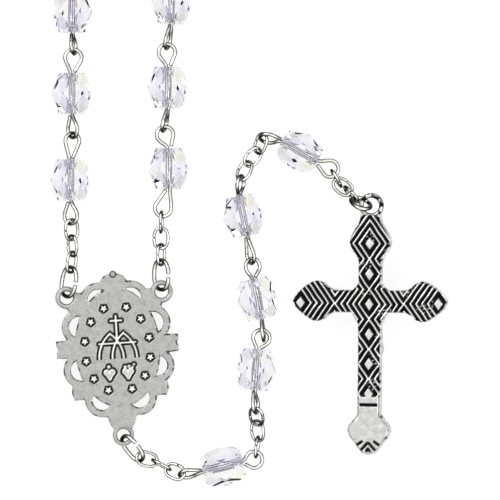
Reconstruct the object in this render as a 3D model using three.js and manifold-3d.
// A five-decade rosary laid flat: a pendant of five beads and a crucifix, a centrepiece medal,
// and a loop of 54 beads. Every bead turns on its own eye pin, and every pin, chain link and
// jump ring hooks into the next one. Millimetres, +Z up, lying on z = 0.
import * as THREE from 'three';
import { ConvexGeometry } from 'three/addons/geometries/ConvexGeometry.js';
import { mergeVertices } from 'three/addons/utils/BufferGeometryUtils.js';
import Module from 'manifold-3d';

const wasm = await Module();
wasm.setup();

// ---- driving dimensions ----
const BEAD_LENGTH = 6.1;
const BEAD_RADIUS = 3.05;
const BEAD_COLUMNS = 6;
const SHOULDER_X = 0.35 * BEAD_LENGTH;
const BEAD_BORE = 1.3;
const BEAD_HEIGHT = 3.1;               // height of a bead's axis above the surface
const PIN_WIRE = 0.6;
const PIN_NECK = 0.15;                 // bare pin between the bead's face and its eye
const EYE_RADIUS = 1.25;               // to the middle of the wire
const LINK = { length: 3.6, width: 2.6, wire: 0.5, slit: 0.12 };
const JUMP = { length: 5.1, width: 3.7, wire: 0.66, slit: 0.5 };
const CRUCIFIX_JUMP = { length: 3.8, width: 3.4, wire: 0.66, slit: 0.2 };
const LOOP_GAP = 0.08;                 // clearance between two wires that hook together
const WIRE_SIDES = 6;
const RING_CORNERS = 2.4;              // exponent of a ring's outline: 2 is an ellipse, more is squarer
const RING_STEPS = 12;
const EYE_STEPS = 8;
const FREE_END = 0.45;                 // how far an eye's cut end runs back towards the neck
const SUNK = 0.2;                      // how deep a relief's solids start below its ground
const PAST = 1;                        // how far a cutter runs past the face it cuts

const MEDAL_THICK = 1.7;
const MEDAL_RELIEF = 0.3;
const MEDAL_EAR_LIFT = 1.35;           // height of the middle of the ears and the bottom loop
const CROSS_THICK = 2.6;
const CROSS_TILT = 11;                 // degrees, the right edge raised by the figure below
const CROSS_RELIEF = 0.3;

// ---- where the pieces take hold of each other (x, y, height) ----
const MEDAL_AT = [-19.95, -14.3, 0];
const MEDAL_TURN = 3.8;
const CROSS_AT = [18.3, -8.1, 2.55];
const CROSS_TURN = -0.5;

const LEFT_STRAND = {
  start: [-27.55, -6.55, 1.4],
  pieces: [
    { name: 'left_jump_ring', ring: JUMP, roll: 136, to: [-26.95, -3.05, 1.7] },
    { name: 'left_chain_link_1', ring: LINK, roll: 56, to: [-26.7, -0.6, 1.9] },
    { name: 'left_chain_link_2', ring: LINK, roll: -50, to: [-26.7, 1.85, 2.4] },
    { name: 'left_chain_link_3', ring: LINK, roll: 32, to: [-26.85, 4.25, 3.1] },
    { name: 'left_bead_1', bead: [-26.95, 10.5], heading: 90, rolls: [-37, 37], to: [-26.55, 17.2] },
    { name: 'left_bead_2', bead: [-26.75, 23.45], heading: 90, rolls: [-53, 5], to: [-26.4, 29.75] },
    { name: 'left_bead_3', bead: [-26.65, 35.7], heading: 90, rolls: [77, 90], to: [-26.6, 42.0] },
  ],
};

const RIGHT_STRAND = {
  start: [-13.35, -5.55, 1.42],
  pieces: [
    { name: 'right_jump_ring', ring: JUMP, roll: 136, to: [-13.35, -1.95, 1.7] },
    { name: 'right_chain_link_1', ring: LINK, roll: 62, to: [-13.4, 0.55, 1.9] },
    { name: 'right_chain_link_2', ring: LINK, roll: -5, to: [-13.35, 3.0, 2.4] },
    { name: 'right_chain_link_3', ring: LINK, roll: 85, to: [-13.3, 5.4, 3.1] },
    { name: 'right_bead_1', bead: [-12.2, 12.2], heading: 90, rolls: [-10, -2], to: [-13.0, 18.15] },
    { name: 'right_bead_2', bead: [-12.35, 24.35], heading: 90, rolls: [78, 5], to: [-12.5, 30.55] },
    { name: 'right_bead_3', bead: [-11.8, 37.0], heading: 89, rolls: [75, 0], to: [-11.6, 43.3] },
  ],
};

const PENDANT = {
  start: [-18.75, -28.55, 1.45],
  pieces: [
    { name: 'pendant_jump_ring', ring: JUMP, roll: 52, to: [-16.6, -31.15, 1.75] },
    { name: 'pendant_link_1', ring: LINK, roll: -15, to: [-14.4, -31.75, 1.6] },
    { name: 'pendant_link_2', ring: LINK, roll: 80, to: [-12.25, -32.85, 2.2] },
    { name: 'pendant_link_3', ring: LINK, roll: -5, to: [-10.25, -33.7, 3.1] },
    {
      name: 'our_father_bead_1', bead: [-4.05, -32.5], heading: 13.5, rolls: [60, 5],
      outEye: [0.6, -31.45], to: [0.9, -30.72],
    },
    { name: 'pendant_link_4', ring: LINK, roll: 80, to: [1.22, -28.4, 2.5] },
    { name: 'pendant_link_5', ring: LINK, roll: 33, to: [1.05, -25.95, 1.9] },
    { name: 'pendant_link_6', ring: LINK, roll: -25, to: [0.9, -24.1, 3.1] },
    {
      name: 'hail_mary_bead_1', bead: [0.9, -17.9], heading: 85.7, rolls: [72, 5],
      outEye: [1.7, -13.2], to: [1.95, -12.7],
    },
    {
      name: 'hail_mary_bead_2', bead: [1.1, -7.3], heading: 101.8, rolls: [85, 32],
      inEye: [1.95, -12.35], outEye: [0.4, -2.5], to: [0.22, -1.68],
    },
    { name: 'hail_mary_bead_3', bead: [-1.05, 5.1], heading: 101.3, rolls: [-65, 68], to: [-1.3, 10.8] },
    { name: 'pendant_link_7', ring: LINK, roll: -32, to: [-0.35, 13.0, 2.5] },
    { name: 'pendant_link_8', ring: LINK, roll: 28, to: [1.2, 14.9, 2.4] },
    { name: 'pendant_link_9', ring: LINK, roll: -40, to: [2.05, 17.05, 3.1] },
    {
      name: 'our_father_bead_2', bead: [7.45, 14.8], heading: -30, rolls: [60, 5],
      inEye: [2.75, 16.72], outEye: [12.0, 12.2], to: [12.54, 11.52],
    },
    { name: 'pendant_link_10', ring: LINK, roll: 85, to: [13.4, 9.95, 1.5] },
    { name: 'pendant_link_11', ring: LINK, roll: 10, to: [14.5, 9.1, 1.3] },
    { name: 'pendant_link_12', ring: LINK, roll: 75, to: [16.0, 7.6, 2.2] },
    { name: 'crucifix_jump_ring', ring: CRUCIFIX_JUMP, roll: -50, to: [17.25, 6.42, 3.65] },
  ],
};

// The rest of the loop is laid in rows behind the strands: one letter for each bead (B) or
// three-link chain (C), and one row or column of it for each hinged run.
const BEAD_STEP = 12.4;
const CHAIN_STEP = 7.5;
const LOOP_ORDER = 'BBBBBBBCBC' + 'BBBBBBBBBBCBC'.repeat(3) + 'BBBBBBB';
const WEST = 180;
const EAST = 0;
const NORTH = 90;
const SOUTH = -90;
const RUNS = [
  [[WEST, 3], [NORTH, 1]],
  [[EAST, 5], [NORTH, 1]],
  [[WEST, 5], [NORTH, 1]],
  [[EAST, 5], [NORTH, 1]],
  [[WEST, 5], [NORTH, 1]],
  [[EAST, 5], [NORTH, 1]],
  [[WEST, 5], [NORTH, 1]],
  [[EAST, 7]],
  [[SOUTH, 3]],
  [[SOUTH, 3], [WEST, 1]],
];
const RUN_WIRE = 0.8;
const RUN_END_GAP = 0.55;
const LOOP_OPENING = [1.6, 0.4];         // the last bead stays this far clear of the right strand's top eye

// ---- materials ----
const crystal = () => new THREE.MeshStandardMaterial({ color: 0xe9e8f2, roughness: 0.05, metalness: 0 });
const silver = () => new THREE.MeshStandardMaterial({ color: 0xc9c6bb, roughness: 0.25, metalness: 1 });
const antique = () => new THREE.MeshStandardMaterial({ color: 0x9b9b95, roughness: 0.45, metalness: 1 });

const rosary = new THREE.Group();
rosary.name = 'rosary';
const rad = THREE.MathUtils.degToRad;

// ---- solids ----
function toSolid(geometry) {
  const plain = new THREE.BufferGeometry();
  plain.setAttribute('position', geometry.attributes.position.clone());
  if (geometry.index) plain.setIndex(geometry.index.clone());
  const merged = mergeVertices(plain, 1e-4);
  return new wasm.Manifold(new wasm.Mesh({
    numProp: 3,
    vertProperties: new Float32Array(merged.attributes.position.array),
    triVerts: new Uint32Array(merged.index.array),
  }));
}

function toGeometry(solid) {
  const mesh = solid.getMesh();
  const geometry = new THREE.BufferGeometry();
  geometry.setAttribute('position', new THREE.BufferAttribute(mesh.vertProperties, 3));
  geometry.setIndex(new THREE.BufferAttribute(mesh.triVerts, 1));
  geometry.computeVertexNormals();
  return geometry;
}

function roundSection(radius, sides) {
  const corners = Array.from({ length: sides }, (_, i) => {
    const angle = (2 * Math.PI * (i + 0.5)) / sides;
    return new THREE.Vector2(radius * Math.cos(angle), radius * Math.sin(angle));
  });
  return new THREE.Shape(corners);
}

// A curve through its points that is cut exactly at them, so a wire has one section at each.
class BentWire extends THREE.CatmullRomCurve3 {
  getPointAt(u, target) {
    return this.getPoint(u, target);
  }

  getTangentAt(u, target) {
    return this.getTangent(u, target);
  }

  getSpacedPoints(divisions) {
    return this.getPoints(divisions);
  }
}

function wireAlong(points, diameter) {
  const path = new BentWire(points, false, 'centripetal');
  const section = roundSection(diameter / 2, WIRE_SIDES);
  const steps = points.length - 1;
  return new THREE.ExtrudeGeometry(section, { steps, extrudePath: path, bevelEnabled: false });
}

function plate(outline, bottom, top, curveSegments = 10) {
  const options = { depth: top - bottom, bevelEnabled: false, curveSegments };
  return toSolid(new THREE.ExtrudeGeometry(outline, options).translate(0, 0, bottom));
}

function ellipse(x, y, halfWidth, halfHeight) {
  return new THREE.Shape().absellipse(x, y, halfWidth, halfHeight, 0, 2 * Math.PI);
}

function disc(x, y, radius) {
  return ellipse(x, y, radius, radius);
}

function polygon(points) {
  return new THREE.Shape(points.map(([x, y]) => new THREE.Vector2(x, y)));
}

function torus(x, y, z, radius, wire, sides = 6, around = 14) {
  return toSolid(new THREE.TorusGeometry(radius, wire / 2, sides, around).translate(x, y, z));
}

function join(solids) {
  return solids.reduce((whole, next) => whole.add(next));
}

// A straight raised stroke from one point to another, used for the relief.
function stroke(from, to, width, bottom, top) {
  const along = new THREE.Vector2(to[0] - from[0], to[1] - from[1]);
  const side = new THREE.Vector2(-along.y, along.x).setLength(width / 2);
  const corners = [
    [from[0] - side.x, from[1] - side.y],
    [to[0] - side.x, to[1] - side.y],
    [to[0] + side.x, to[1] + side.y],
    [from[0] + side.x, from[1] + side.y],
  ];
  return plate(polygon(corners), bottom, top);
}

// ---- a cut bead along X: flat lozenges round the middle, then kites and triangles to the flat ends ----
// The shoulder's corners lie in the plane of the lozenge that two corners of the belt share, and an
// end's corners in the plane of the kite that a belt corner and two shoulder corners share.
function beadHull(shoulders) {
  const half = BEAD_LENGTH / 2;
  const narrowing = Math.cos(Math.PI / BEAD_COLUMNS);
  const faceRadius = BEAD_RADIUS * (1 - (1 - narrowing ** 2) * (half / SHOULDER_X));
  const rows = [
    { x: -half, radius: faceRadius, turn: 0 },
    { x: -SHOULDER_X, radius: narrowing * BEAD_RADIUS, turn: 0.5 },
    { x: 0, radius: BEAD_RADIUS, turn: 0 },
    { x: SHOULDER_X, radius: narrowing * BEAD_RADIUS, turn: 0.5 },
    { x: half, radius: faceRadius, turn: 0 },
  ].filter(({ turn }) => turn === 0 || shoulders);
  const ring = ({ x, radius, turn }) => Array.from({ length: BEAD_COLUMNS }, (_, i) => {
    const angle = (2 * Math.PI * (i + turn)) / BEAD_COLUMNS;
    return new THREE.Vector3(x, radius * Math.cos(angle), radius * Math.sin(angle));
  });
  return toSolid(new ConvexGeometry(rows.flatMap(ring)));
}

function boredBead() {
  const bore = new THREE.CylinderGeometry(BEAD_BORE / 2, BEAD_BORE / 2, BEAD_LENGTH + PAST, 8);
  return toGeometry(beadHull(true).subtract(toSolid(bore.rotateZ(Math.PI / 2))));
}

// ---- a ring of wire with a slit in one long side, lying in XY with its length along X ----
function ringGeometry({ length, width, wire, slit }) {
  const a = (length - wire) / 2;
  const b = (width - wire) / 2;
  const power = 2 / RING_CORNERS;
  const opening = slit / 2 / a;
  const points = Array.from({ length: RING_STEPS + 1 }, (_, i) => {
    const angle = Math.PI / 2 + opening + ((2 * Math.PI - 2 * opening) * i) / RING_STEPS;
    const c = Math.cos(angle);
    const s = Math.sin(angle);
    return new THREE.Vector3(
      a * Math.sign(c) * Math.abs(c) ** power,
      b * Math.sign(s) * Math.abs(s) ** power,
      0,
    );
  });
  return wireAlong(points, wire);
}

// ---- an eye pin along X through a bead: a bent eye at each end ----
// An eye is a teardrop of wire: it leaves the neck, goes round its centre and comes back to the neck.
function eyePoints(side, centre, roll) {
  const neck = new THREE.Vector3(side * (BEAD_LENGTH / 2 + PIN_NECK), 0, 0);
  const along = new THREE.Vector3(centre[0], centre[1], 0).sub(neck);
  const reach = along.length();
  along.normalize();
  const across = new THREE.Vector3(-along.y, along.x, 0).applyAxisAngle(along, rad(side * roll));
  const at = (u, v) => neck.clone().addScaledVector(along, u).addScaledVector(across, v);
  const tangent = Math.acos(EYE_RADIUS / reach);
  const round = Array.from({ length: EYE_STEPS + 1 }, (_, i) => {
    const angle = Math.PI - tangent - ((2 * Math.PI - 2 * tangent) * i) / EYE_STEPS;
    return at(reach + EYE_RADIUS * Math.cos(angle), EYE_RADIUS * Math.sin(angle));
  });
  return [neck, ...round, round[EYE_STEPS].clone().lerp(neck, FREE_END)];
}

function pinGeometry(inEye, outEye, rolls) {
  const start = eyePoints(-1, inEye, rolls[0]).reverse();
  const finish = eyePoints(1, outEye, rolls[1]);
  return wireAlong([...start, ...finish], PIN_WIRE);
}

// ---- placing ----
function addMesh(name, geometry, material, holdPoint) {
  const mesh = new THREE.Mesh(geometry, material);
  mesh.name = name;
  mesh.userData.hold = holdPoint;
  rosary.add(mesh);
  return mesh;
}

function addRing(piece, from, to) {
  const material = piece.ring === CRUCIFIX_JUMP ? antique() : silver();
  const mesh = addMesh(piece.name, ringGeometry(piece.ring), material, from);
  const along = to.clone().sub(from).normalize();
  const side = new THREE.Vector3(-along.y, along.x, 0).normalize().applyAxisAngle(along, rad(piece.roll));
  const up = along.clone().cross(side);
  const reach = (piece.ring.length - piece.ring.wire) / 2;
  mesh.quaternion.setFromRotationMatrix(new THREE.Matrix4().makeBasis(along, side, up));
  mesh.position.copy(from).add(to).multiplyScalar(0.5);
  const end = (distance) => mesh.position.clone().addScaledVector(along, distance);
  mesh.userData.ends = [end(-reach), end(reach)];
}

function addBeadOnPin(piece, from, to) {
  const centre = new THREE.Vector3(piece.bead[0], piece.bead[1], BEAD_HEIGHT);
  const turn = rad(piece.heading);
  const zero = new THREE.Vector2();
  const toLocal = (x, y) => new THREE.Vector2(x, y).sub(centre).rotateAround(zero, -turn).toArray();
  const inside = EYE_RADIUS - PIN_WIRE / 2 - LOOP_GAP / 2;
  const eyeCentre = (hold, side) => {
    const local = new THREE.Vector2(...toLocal(hold.x, hold.y));
    const neck = new THREE.Vector2(side * (BEAD_LENGTH / 2 + PIN_NECK), 0);
    return local.sub(local.clone().sub(neck).setLength(inside)).toArray();
  };
  const inEye = piece.inEye ? toLocal(...piece.inEye) : eyeCentre(from, -1);
  const outEye = piece.outEye ? toLocal(...piece.outEye) : eyeCentre(to, 1);
  const pin = addMesh(`${piece.name}_pin`, pinGeometry(inEye, outEye, piece.rolls), silver(), from);
  const bead = addMesh(piece.name, boredBead(), crystal(), centre);
  for (const mesh of [pin, bead]) {
    mesh.rotation.z = turn;
    mesh.position.copy(centre);
  }
  const upwards = new THREE.Vector3(0, 0, 1);
  const endWire = (eye, hold) => {
    const middle = new THREE.Vector3(...eye, 0).applyAxisAngle(upwards, turn).add(centre);
    return middle.addScaledVector(hold.clone().sub(middle).normalize(), EYE_RADIUS);
  };
  pin.userData.ends = [endWire(inEye, from), endWire(outEye, to)];
}

function addStrand(strand) {
  let from = new THREE.Vector3(...strand.start);
  for (const piece of strand.pieces) {
    const to = new THREE.Vector3(piece.to[0], piece.to[1], piece.to[2] ?? BEAD_HEIGHT);
    if (piece.ring) addRing(piece, from, to);
    else addBeadOnPin(piece, from, to);
    from = to;
  }
  return from;
}

// ---- the rest of the loop, in hinged runs of joined beads ----
function runSolid(points, kinds) {
  const solids = [];
  for (let i = 0; i < kinds.length; i += 1) {
    const along = points[i + 1].clone().sub(points[i]);
    const length = along.length();
    const turn = Math.atan2(along.y, along.x);
    const first = i === 0 ? RUN_END_GAP : -RUN_WIRE / 2;
    const last = i === kinds.length - 1 ? length - RUN_END_GAP : length + RUN_WIRE / 2;
    const bar = new THREE.BoxGeometry(last - first, RUN_WIRE, RUN_WIRE).translate((first + last) / 2, 0, 0);
    const pose = new THREE.Matrix4().makeRotationZ(turn).setPosition(points[i]);
    solids.push(toSolid(bar.applyMatrix4(pose)));
    if (kinds[i] === 'B') {
      const middle = points[i].clone().lerp(points[i + 1], 0.5);
      const bead = toGeometry(beadHull(false));
      solids.push(toSolid(bead.applyMatrix4(new THREE.Matrix4().makeRotationZ(turn).setPosition(middle))));
    }
  }
  return toGeometry(join(solids));
}

function addRuns(start, end) {
  let here = start.clone();
  let used = 0;
  const step = (heading, length) => here.clone().add(
    new THREE.Vector3(length * Math.cos(heading), length * Math.sin(heading), 0),
  );
  RUNS.forEach((run, index) => {
    const points = [here];
    const first = used;
    for (const [heading, count] of run) {
      for (let i = 0; i < count; i += 1) {
        here = step(rad(heading), LOOP_ORDER[used] === 'B' ? BEAD_STEP : CHAIN_STEP);
        points.push(here);
        used += 1;
      }
    }
    addMesh(`loop_run_${index + 1}`, runSolid(points, LOOP_ORDER.slice(first, used)), crystal(), points[0]);
  });
  // Two beads with an elbow between them close the loop.
  const gap = end.clone().add(new THREE.Vector3(...LOOP_OPENING, 0)).sub(here);
  const bearing = Math.atan2(gap.y, gap.x);
  const elbow = Math.acos(gap.length() / 2 / BEAD_STEP);
  [-elbow, elbow].forEach((bend, index) => {
    const next = step(bearing + bend, BEAD_STEP);
    const run = runSolid([here, next], 'B');
    addMesh(`loop_run_${RUNS.length + index + 1}`, run, crystal(), here);
    here = next;
  });
}

// ---- the centrepiece, its back up ----
const OVAL = { y: -0.38, halfWidth: 6.43, halfHeight: 9.02 };
const ARCHES = [
  { x: 2.45, y: 6.88, radius: 2.7 },
  { x: 5.55, y: 3.05, radius: 2.65 },
  { x: 5.75, y: -3.45, radius: 2.6 },
  { x: 2.82, y: -8.12, radius: 2.58 },
];
const ARCH_BAND = 1.08;
const EAR = { x: 7.17, y: 7.6, radius: 1.33, wire: 0.78 };
const BOTTOM_LOOP = { y: -13.6, radius: 1.28, wire: 0.68 };
const STARS = [[1.7, 5.6], [3.76, 3.7], [4.85, 0.83], [4.82, -2.15], [3.85, -4.85], [1.78, -6.7]];
const MEDAL_PLATES = [
  [[-0.5, 8.0], [2.0, 9.2], [1.95, 9.75], [1.5, 10.4], [0.9, 10.7], [-0.5, 10.8]],
  [
    [4.5, 1.3], [8.2, 1.15], [9.2, 1.1], [9.2, 0.5], [8.95, -0.1],
    [9.15, -0.7], [9.2, -1.45], [8.2, -1.55], [4.5, -1.6],
  ],
  [[3.2, -6.5], [5.5, -5.0], [7.15, -5.7], [7.3, -6.9], [6.9, -7.95], [5.6, -7.9], [4.6, -8.3]],
  [[-0.5, -8.8], [3.2, -9.8], [2.1, -10.9], [1.85, -11.9], [1.45, -12.5], [1.2, -12.9], [-0.5, -12.9]],
];
const NUB = { y: 10.7, radius: 0.5 };
const SHOULDER_DISC = { x: 5.3, y: 6.3, radius: 1.9 };   // carries the ear between two arches
const LACE_DEPTH = 1.2;
const LOOP_CLEARANCE = 0.1;            // the lace is cut back this far inside a cast loop's wire
const mirrored = (x) => [x, -x];

function star(x, y, radius) {
  const points = Array.from({ length: 10 }, (_, i) => {
    const reach = i % 2 === 0 ? radius : 0.5 * radius;
    const angle = Math.PI / 2 + (Math.PI * i) / 5;
    return [x + reach * Math.cos(angle), y + reach * Math.sin(angle)];
  });
  return polygon(points);
}

function medalSolid() {
  const low = MEDAL_THICK - LACE_DEPTH;
  const flat = (shape, segments) => plate(shape, low, MEDAL_THICK, segments);
  const oval = ellipse(0, OVAL.y, OVAL.halfWidth, OVAL.halfHeight);
  const lace = [];
  const openings = [];
  for (const { x, y, radius } of ARCHES) {
    for (const side of mirrored(x)) {
      lace.push(flat(disc(side, y, radius), 7));
      openings.push(plate(disc(side, y, radius - ARCH_BAND), low - PAST, MEDAL_THICK + PAST, 7));
    }
  }
  const body = join([
    ...lace,
    flat(disc(0, NUB.y, NUB.radius), 4),
    ...[1, -1].flatMap((side) => [
      flat(disc(side * SHOULDER_DISC.x, SHOULDER_DISC.y, SHOULDER_DISC.radius), 6),
      ...MEDAL_PLATES.map((points) => flat(polygon(points.map(([x, y]) => [side * x, y])))),
    ]),
  ]);
  // Each opening stops at the oval, so the lace is cut first and the oval joined after.
  const field = plate(oval, 0, MEDAL_THICK, 14);
  const fittings = [
    torus(EAR.x, EAR.y, MEDAL_EAR_LIFT, EAR.radius, EAR.wire),
    torus(-EAR.x, EAR.y, MEDAL_EAR_LIFT, EAR.radius, EAR.wire),
    torus(0, BOTTOM_LOOP.y, MEDAL_EAR_LIFT, BOTTOM_LOOP.radius, BOTTOM_LOOP.wire),
  ];
  const clearance = [EAR, { x: -EAR.x, y: EAR.y }, { x: 0, y: BOTTOM_LOOP.y }].map(
    ({ x, y }) => plate(disc(x, y, EAR.radius - LOOP_CLEARANCE), low - PAST, MEDAL_THICK + PAST, 7),
  );
  const blank = join([body.subtract(join(openings)), field]).subtract(join(clearance));
  return join([blank, ...fittings, ...medalRelief()]);
}

// A cross over a bar and two crossed pointed arches, two hearts, and twelve stars round them.
function medalRelief() {
  const low = MEDAL_THICK - SUNK;
  const high = MEDAL_THICK + MEDAL_RELIEF;
  const line = (from, to, width, under = 0) => stroke(from, to, width, low, high - under);
  const heart = (x, y) => plate(ellipse(x, y, 0.8, 0.95), low, high, 5);
  return [
    line([0, 4.6], [0, 0.2], 0.5),
    line([-1.0, 3.75], [1.0, 3.75], 0.5, 0.05),
    line([-2.9, 0.3], [2.9, 0.3], 0.42, 0.1),
    line([-2.85, -2.0], [-0.95, 1.8], 0.42),
    line([-1.05, 1.8], [0.85, -2.0], 0.42, 0.05),
    line([-0.85, -2.0], [1.05, 1.8], 0.42, 0.08),
    line([0.95, 1.8], [2.85, -2.0], 0.42, 0.13),
    heart(-1.45, -4.15),
    heart(1.35, -4.15),
    ...STARS.flatMap(([x, y]) => mirrored(x).map((side) => plate(star(side, y, 0.62), low, high))),
  ];
}

// ---- the crucifix, its back up and its figure below ----
const ARM_HALF = 1.65;
const ARM_LIFT = 0.42;                 // the arms' middle line, above the middle of the relief
const ARM_REACH = 11.6;
const SHAFT_TOP = 13.4;
const SHAFT_FOOT = -22.5;
const BUD_HALF = 3.05;
const CORNER = 2.6;
const CROSS_RING = { y: 14.75, radius: 1.52, wire: 0.68 };
// A bud's outline, as shares of its length from where the arm widens and of its half width.
const BUD = [[0, 0.54], [0.145, 0.67], [0.27, 0.9], [0.41, 1], [0.52, 0.95], [0.7, 0.73], [0.8, 0.56]];
const BUD_TIP = [[0.93, 0.32], [1, 0]];
const BUD_NECK = [[0.9, 0.5], [1, 0.46]];
const FOOT_TOP = -16.4;
const FOOT = [
  [2.2, -17.3], [2.95, -18.1], [3.15, -18.9], [2.85, -19.8], [2.2, -20.6], [1.75, -21.3], [1.0, -22.2],
];
const TOP_BUD_FROM = 6.3;
const ARM_BUD_FROM = 5.4;
const SCROLL = { halfWidth: 1.7, low: 6.2, high: 7.6, raise: 0.35 };
const SHAFT_LOZENGES = [8.85, 4.4, 0, -4.55, -8.9];

function budOutline(shares, from, tip) {
  return shares.map(([along, across]) => [from + along * (tip - from), across * BUD_HALF]);
}

function crossOutline() {
  const upright = budOutline([...BUD, ...BUD_NECK], TOP_BUD_FROM, SHAFT_TOP);
  const top = upright.map(([along, across]) => [across, along]);
  const arm = budOutline([...BUD, ...BUD_TIP], ARM_BUD_FROM, ARM_REACH);
  const armBelow = arm.slice(0, -1).reverse().map(([along, across]) => [along, -across]);
  const right = [
    ...top.reverse(), [ARM_HALF, CORNER + ARM_LIFT],
    ...[[CORNER, ARM_HALF], ...arm, ...armBelow, [CORNER, -ARM_HALF]].map(([x, y]) => [x, y + ARM_LIFT]),
    [ARM_HALF, -CORNER - ARM_LIFT], [ARM_HALF, FOOT_TOP], ...FOOT, [0, SHAFT_FOOT],
  ];
  const left = right.slice(0, -1).reverse().map(([x, y]) => [-x, y]);
  return polygon([...right, ...left]);
}

function crucifixSolid() {
  const raised = (shape) => plate(shape, CROSS_THICK - SUNK, CROSS_THICK + CROSS_RELIEF);
  const lozenge = (x, y, size) => {
    const half = 0.8 * size;
    return raised(polygon([[x, y + size], [x - half, y], [x, y - size], [x + half, y]]));
  };
  const { halfWidth, low, high, raise } = SCROLL;
  const scroll = polygon([[-halfWidth, low], [halfWidth, low], [halfWidth, high], [-halfWidth, high]]);
  return join([
    plate(crossOutline(), 0, CROSS_THICK),
    torus(0, CROSS_RING.y, CROSS_THICK / 2, CROSS_RING.radius, CROSS_RING.wire),
    plate(scroll, -raise, SUNK),
    lozenge(-10.2, ARM_LIFT, 0.6),
    lozenge(10.2, ARM_LIFT, 0.6),
    ...SHAFT_LOZENGES.map((y) => lozenge(0, y, 0.95)),
  ]);
}

// A plain standing figure with outstretched arms, lying under the cross.
const FIGURE_DEPTH = 1.2;

function limb(from, to, radius) {
  const a = new THREE.Vector3(...from);
  const b = new THREE.Vector3(...to);
  const along = b.clone().sub(a);
  const rod = new THREE.CapsuleGeometry(radius, along.length(), 2, 6);
  const turn = new THREE.Quaternion().setFromUnitVectors(new THREE.Vector3(0, 1, 0), along.normalize());
  rod.applyQuaternion(turn);
  return toSolid(rod.translate(...a.add(b).multiplyScalar(0.5).toArray()));
}

function figureSolid() {
  const z = -FIGURE_DEPTH;
  const head = new THREE.SphereGeometry(0.85, 8, 6).scale(0.85, 1.1, 0.85).translate(0.1, 2.5, z);
  const cloth = new THREE.CylinderGeometry(1.15, 0.95, 2.0, 8).scale(1, 1, 0.7).translate(0, -3.75, z);
  return join([
    toSolid(head),
    toSolid(cloth),
    limb([0, 0.6, z], [0, -2.9, z], 0.85),
    limb([0, 1.1, z], [0.1, 2.1, z], 0.42),
    limb([-0.7, 0.85, z], [-3.9, 0.7, z], 0.42),
    limb([-3.7, 0.7, z], [-7.0, 1.05, z + 0.3], 0.34),
    limb([0.7, 0.85, z], [3.9, 0.7, z], 0.42),
    limb([3.7, 0.7, z], [7.0, 1.05, z + 0.3], 0.34),
    limb([-0.45, -3.9, z], [0.35, -7.0, z - 0.1], 0.52),
    limb([0.45, -3.9, z], [1.3, -6.8, z - 0.1], 0.52),
    limb([0.3, -6.8, z - 0.1], [-0.15, -11.2, z + 0.2], 0.42),
    limb([1.25, -6.6, z - 0.1], [0.2, -11.0, z + 0.2], 0.42),
  ]);
}

function addCentrepiece() {
  const mesh = addMesh('centrepiece_medal', toGeometry(medalSolid()), antique(), null);
  mesh.rotation.z = rad(MEDAL_TURN);
  mesh.position.set(...MEDAL_AT);
}

function addCrucifix(hold) {
  const bodies = [
    addMesh('crucifix', toGeometry(crucifixSolid()), antique(), hold),
    addMesh('crucifix_figure', toGeometry(figureSolid()), antique(), hold),
  ];
  for (const mesh of bodies) {
    mesh.rotation.set(0, rad(-CROSS_TILT), rad(CROSS_TURN), 'ZYX');
    mesh.position.set(...CROSS_AT);
  }
}

addCentrepiece();
const topOfLeft = addStrand(LEFT_STRAND);
const topOfRight = addStrand(RIGHT_STRAND);
addCrucifix(addStrand(PENDANT));
addRuns(topOfLeft, topOfRight);

// The origin is on the surface under the middle of the whole rosary.
const bounds = new THREE.Box3().setFromObject(rosary, true);
const middle = bounds.getCenter(new THREE.Vector3());
rosary.position.set(-middle.x, -middle.y, -bounds.min.z);

export default rosary;
